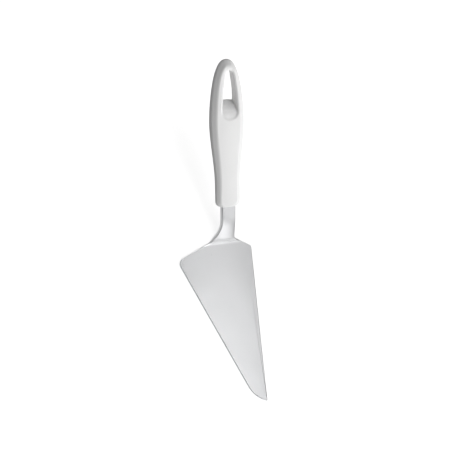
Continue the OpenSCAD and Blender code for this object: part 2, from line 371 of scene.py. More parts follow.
def buildHandleRule():
    tree = newTree("handleRule", handle, {"Body": "NodeSocketFloat", "Cover": "NodeSocketFloat"})
    tree.interface.new_socket("Position", in_out="INPUT", socket_type="NodeSocketVector")
    given = tree.nodes.new("NodeGroupInput")
    size = {label: Term(tree, given.outputs[label]) for label in handle}
    split = tree.nodes.new("ShaderNodeSeparateXYZ")
    tree.links.new(given.outputs["Position"], split.inputs[0])
    u, v, w = (Term(tree, s) for s in split.outputs)
    skin, depth = skinRule(size, u, v, w)
    lip = ease((w - handlePlace["lipStart"]) / handlePlace["lipRun"])
    edge = mix(size["eyeBackEdge"], size["eyeFrontEdge"], lip)
    body = roundMost(skin, -eyeRule(size, u, v - size["eyeSide"], w), edge)
    panel = roundMost(skin, coverOutline(size, u, v, cover["clearance"]), cover["edge"])
    panel = most(most(panel, -(depth + cover["thickness"])), w)
    for share in cover["pegShares"]:
        along = u - (cover["start"] + share * cover["length"])
        reach = root(along * along + v * v)
        inside = depth + cover["thickness"] / 2
        postTop = cover["tangTop"] - cover["sheet"] - cover["clearance"]
        post = most(reach - cover["postRadius"], w - postTop)
        peg = most(reach - cover["pegRadius"], w - cover["pegTop"])
        panel = least(panel, most(least(post, peg), inside))
    result = tree.nodes.new("NodeGroupOutput")
    tree.links.new(body.socket, result.inputs["Body"])
    tree.links.new(panel.socket, result.inputs["Cover"])
    return tree


handleRule = buildHandleRule()


def ruleAt(tree, given, place, offset, which):
    node = tree.nodes.new("GeometryNodeGroup")
    node.node_tree = handleRule
    for label in handle:
        tree.links.new(given.outputs[label], node.inputs[label])
    if offset is None:
        tree.links.new(place, node.inputs["Position"])
    else:
        moved = tree.nodes.new("ShaderNodeVectorMath")
        moved.operation = "ADD"
        tree.links.new(place, moved.inputs[0])
        moved.inputs[1].default_value = offset
        tree.links.new(moved.outputs[0], node.inputs["Position"])
    return Term(tree, node.outputs[which])


def slopeOfRule(tree, given, place, which):
    probe = handlePlace["probe"]
    join = tree.nodes.new("ShaderNodeCombineXYZ")
    for axis in range(3):
        ahead = [0.0, 0.0, 0.0]
        ahead[axis] = probe
        behind = [-a for a in ahead]
        change = ruleAt(tree, given, place, ahead, which) - ruleAt(tree, given, place, behind, which)
        tree.links.new((change / (2 * probe)).socket, join.inputs[axis])
    return join.outputs[0]


def ontoRule(tree, given, shape, which):  # one step of each point onto the true surface
    place = tree.nodes.new("GeometryNodeInputPosition").outputs[0]
    slope = slopeOfRule(tree, given, place, which)
    steep = tree.nodes.new("ShaderNodeVectorMath")
    steep.operation = "DOT_PRODUCT"
    tree.links.new(slope, steep.inputs[0])
    tree.links.new(slope, steep.inputs[1])
    rise = most(Term(tree, steep.outputs["Value"]), leastOf["slope"])
    share = -ruleAt(tree, given, place, None, which) / rise
    step = tree.nodes.new("ShaderNodeVectorMath")
    step.operation = "SCALE"
    tree.links.new(slope, step.inputs[0])
    tree.links.new(share.socket, step.inputs["Scale"])
    moved = tree.nodes.new("GeometryNodeSetPosition")
    tree.links.new(shape, moved.inputs["Geometry"])
    tree.links.new(step.outputs[0], moved.inputs["Offset"])
    return moved.outputs[0]


def evened(tree, shape):  # spreads the points evenly before they go back onto the surface
    place = tree.nodes.new("GeometryNodeInputPosition").outputs[0]
    blur = tree.nodes.new("GeometryNodeBlurAttribute")
    blur.data_type = "FLOAT_VECTOR"
    blur.inputs["Iterations"].default_value = handlePlace["evenSteps"]
    uneven = next(s for s in blur.inputs if s.type == "VECTOR" and s.enabled)
    even = next(s for s in blur.outputs if s.type == "VECTOR" and s.enabled)
    tree.links.new(place, uneven)
    moved = tree.nodes.new("GeometryNodeSetPosition")
    tree.links.new(shape, moved.inputs["Geometry"])
    tree.links.new(even, moved.inputs["Position"])
    return moved.outputs[0]


def keepValue(tree, shape, name, kind, socket):
    keep = tree.nodes.new("GeometryNodeStoreNamedAttribute")
    keep.data_type = kind
    keep.domain = "POINT"
    keep.inputs["Name"].default_value = name
    tree.links.new(shape, keep.inputs["Geometry"])
    tree.links.new(socket, next(s for s in keep.inputs if s.name == "Value" and s.enabled))
    return keep.outputs[0]


def buildHandlePiece(name, which, cell, low, high, cutters):
    tree = newTree(name + "Shape", handle, {"Geometry": "NodeSocketGeometry"})
    tree.interface.new_socket("Finish", in_out="INPUT", socket_type="NodeSocketMaterial")
    given = tree.nodes.new("NodeGroupInput")
    block = tree.nodes.new("GeometryNodeVolumeCube")
    place = tree.nodes.new("GeometryNodeInputPosition").outputs[0]
    tree.links.new((-ruleAt(tree, given, place, None, which)).socket, block.inputs["Density"])
    block.inputs["Background"].default_value = -1.0
    block.inputs["Min"].default_value = low
    block.inputs["Max"].default_value = high
    for axis, label in enumerate("XYZ"):
        block.inputs["Resolution " + label].default_value = round((high[axis] - low[axis]) / cell) + 1
    skin = tree.nodes.new("GeometryNodeVolumeToMesh")
    skin.inputs["Threshold"].default_value = 0.0
    tree.links.new(block.outputs[0], skin.inputs["Volume"])
    shape = ontoRule(tree, given, skin.outputs[0], which)
    shape = ontoRule(tree, given, evened(tree, shape), which)
    shape = ontoRule(tree, given, shape, which)
    if cutters:
        cut = tree.nodes.new("GeometryNodeMeshBoolean")
        cut.operation = "DIFFERENCE"
        cut.solver = "MANIFOLD"
        tree.links.new(shape, cut.inputs["Mesh 1"])
        for tool in cutters:
            info = tree.nodes.new("GeometryNodeObjectInfo")
            info.inputs["Object"].default_value = tool
            tree.links.new(info.outputs["Geometry"], cut.inputs["Mesh 2"])
        shape = cut.outputs[0]
    place = tree.nodes.new("GeometryNodeInputPosition").outputs[0]
    shape = keepValue(tree, shape, "skinSlope", "FLOAT_VECTOR", slopeOfRule(tree, given, place, which))
    off = abs(ruleAt(tree, given, place, None, which))
    shape = keepValue(tree, shape, "skinOff", "FLOAT", off.socket)
    put = tree.nodes.new("GeometryNodeTransform")
    put.inputs["Translation"].default_value = [
        (a + b) * millimetre for a, b in zip(handlePlace["origin"], (creaseX, 0.0, 0.0))]
    put.inputs["Rotation"].default_value = (0.0, -slopeOfHandle, math.pi)
    put.inputs["Scale"].default_value = (millimetre,) * 3
    tree.links.new(shape, put.inputs["Geometry"])
    whole = tree.nodes.new("GeometryNodeRealizeInstances")
    tree.links.new(put.outputs[0], whole.inputs[0])
    paint = tree.nodes.new("GeometryNodeSetMaterial")
    tree.links.new(whole.outputs[0], paint.inputs["Geometry"])
    tree.links.new(given.outputs["Finish"], paint.inputs["Material"])
    result = tree.nodes.new("NodeGroupOutput")
    tree.links.new(paint.outputs[0], result.inputs[0])
    return tree


def makeHandlePiece(name, which, cell, low, high, finish, cutters=()):
    tree = buildHandlePiece(name, which, cell, low, high, cutters)
    made = newObject(name, bpy.data.meshes.new(name))
    modifier = made.modifiers.new("shape", "NODES")
    modifier.node_group = tree
    for label, value in handle.items():
        modifier[inputId(tree, label)] = value
    modifier[inputId(tree, "Finish")] = finish
    mesh = finished(made, finish)
    smoothBySkin(mesh)
    print(name, "points", len(mesh.vertices), "faces", len(mesh.polygons))
    return made


def smoothBySkin(mesh):  # normals come from the rule itself where a face lies on its surface
    count = len(mesh.vertices)
    slope = np.zeros(count * 3)
    mesh.attributes["skinSlope"].data.foreach_get("vector", slope)
    off = np.zeros(count)
    mesh.attributes["skinOff"].data.foreach_get("value", off)
    turn = np.array((Matrix.Rotation(slopeOfHandle, 3, "Y") @ Matrix.Rotation(math.pi, 3, "Z")))
    slope = slope.reshape(-1, 3) @ turn.T
    slope /= np.maximum(np.linalg.norm(slope, axis=1, keepdims=True), 1e-9)
    corners = np.zeros(len(mesh.loops), int)
    mesh.loops.foreach_get("vertex_index", corners)
    starts = np.zeros(len(mesh.polygons), int)
    mesh.polygons.foreach_get("loop_start", starts)
    totals = np.zeros(len(mesh.polygons), int)
    mesh.polygons.foreach_get("loop_total", totals)
    flat = np.zeros(len(mesh.polygons) * 3)
    mesh.polygons.foreach_get("normal", flat)
    flat = flat.reshape(-1, 3)
    near = off[corners] < handlePlace["skinNear"]
    onSkin = np.minimum.reduceat(near.astype(int), starts) > 0
    owner = np.repeat(np.arange(len(mesh.polygons)), totals)
    agree = np.einsum("ij,ij->i", slope[corners], flat[owner]) > handlePlace["skinAgree"]
    use = onSkin[owner] & agree
    normals = np.where(use[:, None], slope[corners], flat[owner])
    mesh.polygons.foreach_set("use_smooth", np.ones(len(mesh.polygons), bool))
    mesh.normals_split_custom_set(normals)
    mesh.attributes.remove(mesh.attributes["skinSlope"])
    mesh.attributes.remove(mesh.attributes["skinOff"])


def slotTool():  # the neck's way in, rounded as the neck is
    reach = neckSlot["halfWidth"] - neckSlot["round"]
    height = neckSlot["top"] - neckSlot["round"]
    outline = arcPoints((reach, height), neckSlot["round"], 0.0, math.pi / 2, neckSlot["roundSteps"])
    outline += [(-a, b) for a, b in reversed(outline)]
    outline += [(-neckSlot["halfWidth"], neckSlot["bottom"]), (neckSlot["halfWidth"], neckSlot["bottom"])]
    shape = bmesh.new()
    stretch = (-neckSlot["lead"], neckSlot["length"])
    ends = [[shape.verts.new((u, a, b)) for a, b in outline] for u in stretch]
    for i in range(len(outline)):
        j = (i + 1) % len(outline)
        shape.faces.new((ends[0][i], ends[0][j], ends[1][j], ends[1][i]))
    for end in ends:
        shape.faces.new(end)
    bmesh.ops.recalc_face_normals(shape, faces=shape.faces)
    mesh = bpy.data.meshes.new("slotTool")
    shape.to_mesh(mesh)
    shape.free()
    return newObject("slotTool", mesh)


def rodTool(name, u, radius, low, high):
    mesh = bpy.data.meshes.new(name)
    shape = bmesh.new()
    bmesh.ops.create_cone(shape, cap_ends=True, segments=cover["pegSides"], radius1=radius, radius2=radius,
                          depth=high - low)
    bmesh.ops.translate(shape, verts=shape.verts, vec=(u, 0, (low + high) / 2))
    shape.to_mesh(mesh)
    shape.free()
    return newObject(name, mesh)


def handleMatrix():
    place = Vector(handlePlace["origin"]) + Vector((creaseX, 0.0, 0.0))
    turn = Matrix.Rotation(math.pi, 4, "Z") @ Matrix.Rotation(-slopeOfHandle, 4, "Y")
    return Matrix.Translation(place * millimetre) @ turn @ Matrix.Scale(millimetre, 4)


def easeNumber(t):
    held = min(max(t, 0.0), 1.0)
    return held * held * (3 - 2 * held)


def halfWidthAt(u):
    share = u / handle["length"]
    run = (share - handle["swellShare"]) / (handle["gripShare"] - handle["swellShare"])
    return (handle["rootWidth"] + (handle["gripWidth"] - handle["rootWidth"]) * easeNumber(run)) / 2


def backAt(u):
    share = u / handle["length"]
    early = easeNumber(share / handle["gripShare"])
    return handle["rootBack"] + (handle["gripBack"] - handle["rootBack"]) * early


def pocketTool(border, top=None):  # the recess of the back cover, or the hollow of the grip over it
    start = cover["start"] + border - cover["border"]
    length = cover["length"] - 2 * (border - cover["border"])
    stations = []
    steps = cover["cornerSteps"]
    for step in range(steps + 1):
        angle = math.pi / 2 * step / steps
        stations.append((border * (1 - math.cos(angle)), border * (1 - math.sin(angle))))
    runs = cover["runSteps"]
    inner = [(border + (length - 2 * border) * i / runs, 0.0) for i in range(1, runs)]
    rows = [(start + a, b) for a, b in stations + inner]
    rows += [(start + length - a, b) for a, b in reversed(stations)]
    shape = bmesh.new()
    floor = -cover["cutDepth"]
    rings = []
    for u, less in rows:
        half = halfWidthAt(u) - border - less
        roof = top
        if top is None:
            roof = -backAt(u) * cover["backShare"] + cover["thickness"] + cover["clearance"]
        ring = ((u, -half, floor), (u, half, floor), (u, half, roof), (u, -half, roof))
        rings.append([shape.verts.new(p) for p in ring])
    for a, b in zip(rings, rings[1:]):
        for i in range(4):
            shape.faces.new((a[i], a[(i + 1) % 4], b[(i + 1) % 4], b[i]))
    shape.faces.new(rings[0][::-1])
    shape.faces.new(rings[-1])
    bmesh.ops.recalc_face_normals(shape, faces=shape.faces)
    mesh = bpy.data.meshes.new("pocketTool")
    shape.to_mesh(mesh)
    shape.free()
    return newObject("pocketTool", mesh)


def makeHandle(finish, coverFinish):
    margin = handlePlace["margin"]
    recess = pocketTool(cover["border"])
    hollow = pocketTool(cover["border"] + cover["ledge"], neckSlot["top"])
    tools = [slotTool(), recess, hollow]
    for share in cover["pegShares"]:
        u = cover["start"] + share * cover["length"]
        radius = cover["pegRadius"] + cover["clearance"]
        tools.append(rodTool("pegTool", u, radius, -cover["cutDepth"], neckSlot["socketTop"]))
    wide = handle["gripWidth"] / 2 + margin
    body = makeHandlePiece(
        "handleBody", "Body", handlePlace["cell"],
        (-margin, -wide, -handle["gripBack"] - margin),
        (handle["length"] + margin, wide, handle["gripFace"] + margin), finish, tools)
    for tool in tools:
        bpy.data.objects.remove(tool)
    back = makeHandlePiece(
        "handleBackCover", "Cover", cover["cell"],
        (cover["start"] - margin, -wide, -handle["gripBack"] - margin),
        (cover["start"] + cover["length"] + margin, wide, cover["pegTop"] + margin), coverFinish)
    return body, back


# Blade: a stamped sheet with a cranked channel neck and a tang inside the handle
sheetSizes = {
    "sheet": 1.5,
    "length": 124.0,
    "tipOffset": 8.6,
    "tipRadius": 22.0,
    "tipTurn": math.radians(70.0),
    "wideReach": 43.2,
    "wideSet": 9.0,
    "wideCorner": 5.5,
    "straightReach": 18.49,
    "straightSet": 4.5,
    "straightCorner": 1.5,
    "neckWidth": 12.2,
    "neckLength": 29.5,
    "riseAngle": math.radians(38.0),
    "riseLength": 7.0,
    "creaseRadius": 7.0,
    "humpRadius": 50.0,
    "flankAngle": math.radians(82.0),
    "flankRadius": 1.2,
    "flankLength": 1.7,
    "flankSheet": 1.1,
    "flankStart": -0.4,  # the flanks turn down from here along the neck
    "flankRun": 4.4,
    "flankFirst": 0.42,  # the flanks' share of their full height at the crease
    "flankGrow": 6.9,
    "neckCrown": 0.3,
    "crownRun": 6.0,
    "crownFadeStart": 14.0,
    "crownFadeRun": 12.0,
    "creaseLead": 1.5,  # the crease is pressed a little into the blade, over this length
    "creaseDeep": 0.8,
    "creaseDip": 0.12,
    "creasePower": 3,
    "wideRoot": 5.6,
    "wideFillet": 17.0,
    "straightRoot": 3.4,
    "tangLength": 60.0,
    "tangWidth": 11.0,
    "tangRun": 12.0,
    "tangHole": 2.5,
    "holeReach": 5.0,
    "rimRound": 0.5,
    "rimSteps": 3,
    "rimAngle": math.radians(50.0),
    "rimWeight": 60,
    "probe": 0.05,
    "station": 0.5,
    "flankSteps": 10,
    "flankRows": 3,
    "crownSteps": 12,
    "cornerSteps": 14,
    "tipSteps": 40,
}


def neckPath(s):
    size = sheetSizes
    rise = size["riseAngle"]
    bend = size["creaseRadius"]
    bendEnd = bend * rise
    riseEnd = bendEnd + size["riseLength"]
    hump = size["humpRadius"]
    humpEnd = riseEnd + hump * (rise - slopeOfHandle)
    angle = min(max(s, 0.0), bendEnd) / bend
    x = -bend * math.sin(angle)
    z = size["sheet"] + bend * (1 - math.cos(angle))
    if s < 0:
        return -s, z, 0.0
    if s > bendEnd:
        run = min(s, riseEnd) - bendEnd
        x -= run * math.cos(rise)
        z += run * math.sin(rise)
    if s > riseEnd:
        angle = rise - (min(s, humpEnd) - riseEnd) / hump
        x += hump * (math.sin(angle) - math.sin(rise))
        z += hump * (math.cos(angle) - math.cos(rise))
    if s > humpEnd:
        x -= (s - humpEnd) * math.cos(slopeOfHandle)
        z += (s - humpEnd) * math.sin(slopeOfHandle)
    return x, z, angle


def tangHalf(s):
    size = sheetSizes
    share = easeNumber((s - size["neckLength"]) / size["tangRun"])
    return (size["neckWidth"] + (size["tangWidth"] - size["neckWidth"]) * share) / 2


def wideHalf(s):
    size = sheetSizes
    half = size["neckWidth"] / 2
    slope = math.atan2(size["wideRoot"] + size["wideSet"], size["wideReach"] - half)
    lead = size["wideFillet"] * math.tan((math.pi / 2 - slope) / 2)
    start = size["wideRoot"] + lead
    if s > size["neckLength"]:
        return tangHalf(s)
    if s > start:
        return half
    if s > size["wideRoot"] - lead * math.sin(slope):
        share = (start - s) / size["wideFillet"]
        return half + size["wideFillet"] * (1 - math.sqrt(max(0.0, 1 - share * share)))
    return half + (size["wideReach"] - half) * (size["wideRoot"] - s) / (size["wideRoot"] + size["wideSet"])


def straightHalf(s):
    size = sheetSizes
    half = size["neckWidth"] / 2
    if s > size["neckLength"]:
        return tangHalf(s)
    if s > size["straightRoot"]:
        return half
    share = (size["straightRoot"] - s) / (size["straightRoot"] + size["straightSet"])
    return half + (size["straightReach"] - half) * share


def flankTurn(s):
    size = sheetSizes
    if s < size["neckLength"]:
        return size["flankAngle"] * easeNumber((s - size["flankStart"]) / size["flankRun"])
    run = s - size["neckLength"] - size["tangRun"] / 4
    return size["flankAngle"] * (1 - easeNumber(run / size["tangRun"]))


def edgeStretch(half, s):  # how much wider a band along the edge is, measured straight across
    step = sheetSizes["probe"]
    slope = (half(s - step) - half(s + step)) / (2 * step)
    return math.sqrt(1 + slope * slope)


def crownDrop(s, y):  # the neck is a little higher in its middle
    size = sheetSizes
    fade = easeNumber((s - size["crownFadeStart"]) / size["crownFadeRun"])
    share = easeNumber(s / size["crownRun"]) * (1 - fade)
    side = min(1.0, 2 * abs(y) / size["neckWidth"])
    return size["neckCrown"] * share * (side * side - 0.5)


def creaseDrop(s):
    size = sheetSizes
    if s > size["creaseDeep"]:
        bendEnd = size["creaseRadius"] * size["riseAngle"]
        run = (s - size["creaseDeep"]) / (bendEnd - size["creaseDeep"])
        return size["creaseDip"] * (1 - easeNumber(run))
    run = (s + size["creaseLead"]) / (size["creaseDeep"] + size["creaseLead"])
    return size["creaseDip"] * run ** size["creasePower"]


def flankSide(s, half, stretch):
    # From the edge inwards: distance from the axis, drop, length along the sheet and slope
    size = sheetSizes
    grown = size["flankFirst"] + (1 - size["flankFirst"]) * easeNumber(s / size["flankGrow"])
    arc = size["flankRadius"] * size["flankAngle"] * grown
    length = size["flankLength"] * grown
    angle = flankTurn(s)
    steps = size["flankSteps"]
    rows = size["flankRows"]
    if angle > 1e-6:
        radius = arc / angle
        around = [(radius * math.sin(angle * j / steps), radius * (1 - math.cos(angle * j / steps)))
                  for j in range(steps + 1)]
    else:
        around = [(arc * j / steps, 0.0) for j in range(steps + 1)]
    across, down = around[-1]
    crown = half - (across + length * math.cos(angle)) * stretch
    points = []
    for j in range(rows, 0, -1):
        run = length * j / rows
        side = crown + (across + run * math.cos(angle)) * stretch
        points.append((side, down + run * math.sin(angle), crown + (arc + run) * stretch, angle))
    for j in range(steps, -1, -1):
        side = crown + around[j][0] * stretch
        points.append((side, around[j][1], crown + arc * stretch * j / steps, angle * j / steps))
    return points


def arcPoints(centre, radius, start, end, steps):
    turns = [start + (end - start) * i / steps for i in range(steps + 1)]
    return [(centre[0] + radius * math.cos(a), centre[1] + radius * math.sin(a)) for a in turns]


def roundedCorner(before, corner, after, radius):
    corner = Vector(corner)
    p = (Vector(before) - corner).normalized()
    q = (Vector(after) - corner).normalized()
    half = math.acos(p.dot(q)) / 2
    centre = corner + (p + q).normalized() * radius / math.sin(half)
    start = corner + p * radius / math.tan(half) - centre
    first = math.atan2(start.y, start.x)
    return arcPoints(centre, radius, first, first + math.pi - 2 * half, sheetSizes["cornerSteps"])


def bladeOutline():  # from the wide end of the crease, round the tip, to its other end
    size = sheetSizes
    rearWide = (0.0, -wideHalf(0.0))
    rearStraight = (0.0, straightHalf(0.0))
    wide = Vector((size["wideSet"], -size["wideReach"]))
    straight = Vector((size["straightSet"], size["straightReach"]))
    tip = Vector((size["length"], size["tipOffset"]))
    turn = size["tipTurn"]
    centre = tip + size["tipRadius"] * Vector((-math.sin(turn), math.cos(turn)))
    reach = centre - wide
    edge = math.atan2(reach.y, reach.x) - math.asin(size["tipRadius"] / reach.length)
    ahead = wide + Vector((math.cos(edge), math.sin(edge)))
    points = roundedCorner(rearWide, wide, ahead, size["wideCorner"])
    points += arcPoints(centre, size["tipRadius"], edge - math.pi / 2, turn - math.pi / 2, size["tipSteps"])
    points += roundedCorner(tip, straight, rearStraight, size["straightCorner"])
    return points


def neckStations():
    size = sheetSizes
    step = size["station"]
    lead = size["creaseLead"]
    end = size["neckLength"] + size["tangLength"]
    found = {size["creaseDeep"], size["straightRoot"], size["neckLength"], end}
    found |= {round(i * step - lead, 3) for i in range(int((end + lead) / step) + 1)}
    return sorted(found)


def makeBlade(finish):
    size = sheetSizes
    shape = bmesh.new()
    layer = shape.loops.layers.uv.new("alongSheet")
    flat = {}

    def point(x, y, z, along, across):
        made = shape.verts.new(((x + creaseX) * millimetre, y * millimetre, z * millimetre))
        flat[made] = (along * millimetre, across * millimetre)
        return made

    tops = []
    unders = []
    for s in neckStations():
        x, z, slope = neckPath(s)
        stretch = edgeStretch(wideHalf, s)
        left = [(-y, drop, -along, -turn) for y, drop, along, turn in flankSide(s, wideHalf(s), stretch)]
        right = flankSide(s, straightHalf(s), 1.0)[::-1]
        crown = []
        for i in range(1, size["crownSteps"]):
            share = i / size["crownSteps"]
            crown.append((left[-1][0] + (right[0][0] - left[-1][0]) * share, 0.0,
                          left[-1][2] + (right[0][2] - left[-1][2]) * share, 0.0))
        top = []
        under = []
        for y, drop, along, turn in left + crown + right:
            drop += crownDrop(s, y)
            pressed = drop + creaseDrop(s)
            top.append(point(x - pressed * math.sin(slope), y, z - pressed * math.cos(slope), -s, along))
            thick = size["sheet"] + (size["flankSheet"] - size["sheet"]) * abs(math.sin(turn))
            drop += thick * math.cos(turn)
            y -= thick * math.sin(turn) * (stretch if y < 0 else 1.0)
            low = max(0.0, z - drop * math.cos(slope))  # never below the blade's underside
            under.append(point(x - drop * math.sin(slope), y, low, -s, along))
        tops.append(top)
        unders.append(under)
    for topA, topB, underA, underB in zip(tops, tops[1:], unders, unders[1:]):
        for i in range(len(topA) - 1):
            shape.faces.new((topA[i], topA[i + 1], topB[i + 1], topB[i]))
            shape.faces.new((underA[i], underB[i], underB[i + 1], underA[i + 1]))
        shape.faces.new((topA[0], topB[0], underB[0], underA[0]))
        shape.faces.new((topA[-1], underA[-1], underB[-1], topB[-1]))
    for i in range(len(tops[-1]) - 1):
        shape.faces.new((tops[-1][i], tops[-1][i + 1], unders[-1][i + 1], unders[-1][i]))
    rim = bladeOutline()
    upper = [point(x, y, size["sheet"], x, y) for x, y in rim]
    lower = [point(x, y, 0.0, x, y) for x, y in rim]
    shape.faces.new(upper + tops[0][::-1])
    shape.faces.new((lower + unders[0][::-1])[::-1])
    upper = [tops[0][0]] + upper + [tops[0][-1]]
    lower = [unders[0][0]] + lower + [unders[0][-1]]
    for i in range(len(upper) - 1):
        shape.faces.new((upper[i], lower[i], lower[i + 1], upper[i + 1]))
    bmesh.ops.recalc_face_normals(shape, faces=shape.faces)
    for face in shape.faces:
        face.smooth = True
        for corner in face.loops:
            corner[layer].uv = flat[corner.vert]
    mesh = bpy.data.meshes.new("steelBlade")
    shape.to_mesh(mesh)
    shape.free()
    made = newObject("steelBlade", mesh, finish)
    tools = []
    for share in cover["pegShares"]:
        u = cover["start"] + share * cover["length"]
        tool = rodTool("tangHoleTool", u, size["tangHole"], -size["holeReach"], size["holeReach"])
        tool.matrix_world = handleMatrix()
        hole = made.modifiers.new("pegHole", "BOOLEAN")
        hole.object = tool
        hole.solver = "EXACT"
        tools.append(tool)
    soft = made.modifiers.new("rim", "BEVEL")
    soft.width = size["rimRound"] * millimetre
    soft.segments = size["rimSteps"]
    soft.limit_method = "ANGLE"
    soft.angle_limit = size["rimAngle"]
    soft.use_clamp_overlap = False
    shade = made.modifiers.new("shade", "WEIGHTED_NORMAL")
    shade.weight = size["rimWeight"]
    mesh = finished(made, finish)
    for corner in mesh.vertices:
        corner.co.z = max(corner.co.z, 0.0)  # nothing below the blade's underside
    for tool in tools:
        bpy.data.objects.remove(tool)
    print("steelBlade points", len(mesh.vertices), "faces", len(mesh.polygons))
    return made


# Finishes
def newMaterial(name):
    made = bpy.data.materials.new(name)
    made.use_nodes = True
    made.node_tree.nodes.clear()
    shader = made.node_tree.nodes.new("ShaderNodeBsdfPrincipled")
    result = made.node_tree.nodes.new("ShaderNodeOutputMaterial")
    made.node_tree.links.new(shader.outputs[0], result.inputs["Surface"])
    return made, shader


def addNode(tree, kind, values=None, links=None, **settings):
    node = tree.nodes.new(kind)
    for name, value in settings.items():
        setattr(node, name, value)
    for name, value in (values or {}).items():
        node.inputs[name].default_value = value
    for name, socket in (links or {}).items():
        tree.links.new(socket, node.inputs[name])
    return node


def toneBetween(tree, low, high, share):
    tone = addNode(tree, "ShaderNodeMix", data_type="RGBA")
    colours = [s for s in tone.inputs if s.type == "RGBA"]
    colours[0].default_value = (*low, 1)
    colours[1].default_value = (*high, 1)
    tree.links.new(share, tone.inputs[0])
    return next(s for s in tone.outputs if s.type == "RGBA")


def valueBetween(tree, low, high, share):
    between = addNode(tree, "ShaderNodeMapRange", {"To Min": low, "To Max": high}, {"Value": share})
    return between.outputs[0]


handlingLook = {
    "sizes": {"Marks per metre": 120.0, "Grain per metre": 5000.0},
    "patches": {"Scale": 38.0, "Detail": 2.0},
    "patchEdge": {"From Min": 0.35, "From Max": 0.62},
    "rubbed": {"Detail": 5.0, "Roughness": 0.6, "Distortion": 0.7},
    "grain": {"Detail": 2.0},
}


def buildHandling():  # soft marks of handling and a fine surface grain
    look = handlingLook
    tree = bpy.data.node_groups.new("handling", "ShaderNodeTree")
    tree.interface.new_socket("Place", in_out="INPUT", socket_type="NodeSocketVector")
    for label, value in look["sizes"].items():
        socket = tree.interface.new_socket(label, in_out="INPUT", socket_type="NodeSocketFloat")
        socket.default_value = value
    for label in ("Marks", "Grain"):
        tree.interface.new_socket(label, in_out="OUTPUT", socket_type="NodeSocketFloat")
    given = tree.nodes.new("NodeGroupInput")
    result = tree.nodes.new("NodeGroupOutput")
    place = given.outputs["Place"]
    patches = addNode(tree, "ShaderNodeTexNoise", look["patches"], {"Vector": place})
    rubbed = addNode(tree, "ShaderNodeTexNoise", look["rubbed"],
                     {"Vector": place, "Scale": given.outputs["Marks per metre"]})
    where = addNode(tree, "ShaderNodeMapRange", look["patchEdge"], {"Value": patches.outputs[0]},
                    interpolation_type="SMOOTHSTEP")
    marks = addNode(tree, "ShaderNodeMath", operation="MULTIPLY")
    tree.links.new(where.outputs[0], marks.inputs[0])
    tree.links.new(rubbed.outputs[0], marks.inputs[1])
    grain = addNode(tree, "ShaderNodeTexNoise", look["grain"],
                    {"Vector": place, "Scale": given.outputs["Grain per metre"]})
    tree.links.new(marks.outputs[0], result.inputs["Marks"])
    tree.links.new(grain.outputs[0], result.inputs["Grain"])
    return tree


handling = buildHandling()


steelLook = {
    "dull": (0.745, 0.75, 0.76),
    "bright": (0.795, 0.80, 0.81),
    "roughness": (0.25, 0.36),
    "lines": (75.0, 5600.0, 1.0),  # along and across the sheet, per metre
    "brushed": {"Scale": 1.0, "Detail": 4.0, "Roughness": 0.65},
    "lineDepth": 0.000004,
    "rubbed": 0.3,
    "marks": 160.0,
    "grain": 9000.0,
}
bumpStrength = 0.5
plasticIndex = 1.49
plasticLook = {
    "whitePlastic": {
        "dull": (0.852, 0.852, 0.848),
        "bright": (0.876, 0.876, 0.874),
        "roughness": (0.13, 0.22),
        "marks": 120.0,
        "grain": 2600.0,
        "grainDepth": 0.000002,
    },
    "whiteCoverPlastic": {
        "dull": (0.838, 0.838, 0.833),
        "bright": (0.862, 0.862, 0.859),
        "roughness": (0.24, 0.34),
        "marks": 140.0,
        "grain": 3400.0,
        "grainDepth": 0.000008,
    },
}


def handlingIn(tree, look):
    node = addNode(tree, "ShaderNodeGroup", node_tree=handling)
    tree.links.new(tree.nodes.new("ShaderNodeTexCoord").outputs["Object"], node.inputs["Place"])
    node.inputs["Marks per metre"].default_value = look["marks"]
    node.inputs["Grain per metre"].default_value = look["grain"]
    return node.outputs["Marks"], node.outputs["Grain"]


def makeSteel():  # satin steel, brushed along the sheet
    look = steelLook
    made, shader = newMaterial("satinSteel")
    tree = made.node_tree
    marks, grain = handlingIn(tree, look)
    along = addNode(tree, "ShaderNodeUVMap", uv_map="alongSheet")
    drawn = addNode(tree, "ShaderNodeMapping", {"Scale": look["lines"]}, {"Vector": along.outputs[0]})
    lines = addNode(tree, "ShaderNodeTexNoise", look["brushed"], {"Vector": drawn.outputs[0]})
    rubbed = addNode(tree, "ShaderNodeMix", {"Factor": look["rubbed"]})
    tree.links.new(lines.outputs[0], rubbed.inputs["A"])
    tree.links.new(marks, rubbed.inputs["B"])
    tone = toneBetween(tree, look["dull"], look["bright"], lines.outputs[0])
    tree.links.new(tone, shader.inputs["Base Color"])
    tree.links.new(valueBetween(tree, *look["roughness"], rubbed.outputs[0]), shader.inputs["Roughness"])
    high = addNode(tree, "ShaderNodeMath", operation="ADD")
    tree.links.new(lines.outputs[0], high.inputs[0])
    tree.links.new(grain, high.inputs[1])
    bump = addNode(tree, "ShaderNodeBump", {"Distance": look["lineDepth"], "Strength": bumpStrength},
                   {"Height": high.outputs[0]})
    tree.links.new(bump.outputs[0], shader.inputs["Normal"])
    shader.inputs["Metallic"].default_value = 1.0
    return made


def makePlastic(name):  # glossy moulding with a faint grain from its tool
    look = plasticLook[name]
    made, shader = newMaterial(name)
    tree = made.node_tree
    marks, grain = handlingIn(tree, look)
    tree.links.new(toneBetween(tree, look["bright"], look["dull"], marks), shader.inputs["Base Color"])
    tree.links.new(valueBetween(tree, *look["roughness"], marks), shader.inputs["Roughness"])
    bump = addNode(tree, "ShaderNodeBump", {"Distance": look["grainDepth"], "Strength": bumpStrength},
                   {"Height": grain})
    tree.links.new(bump.outputs[0], shader.inputs["Normal"])
    shader.inputs["IOR"].default_value = plasticIndex
    return made


steel = makeSteel()
plastic = makePlastic("whitePlastic")
coverPlastic = makePlastic("whiteCoverPlastic")
print("finishes made")

body, back = makeHandle(plastic, coverPlastic)
blade = makeBlade(steel)

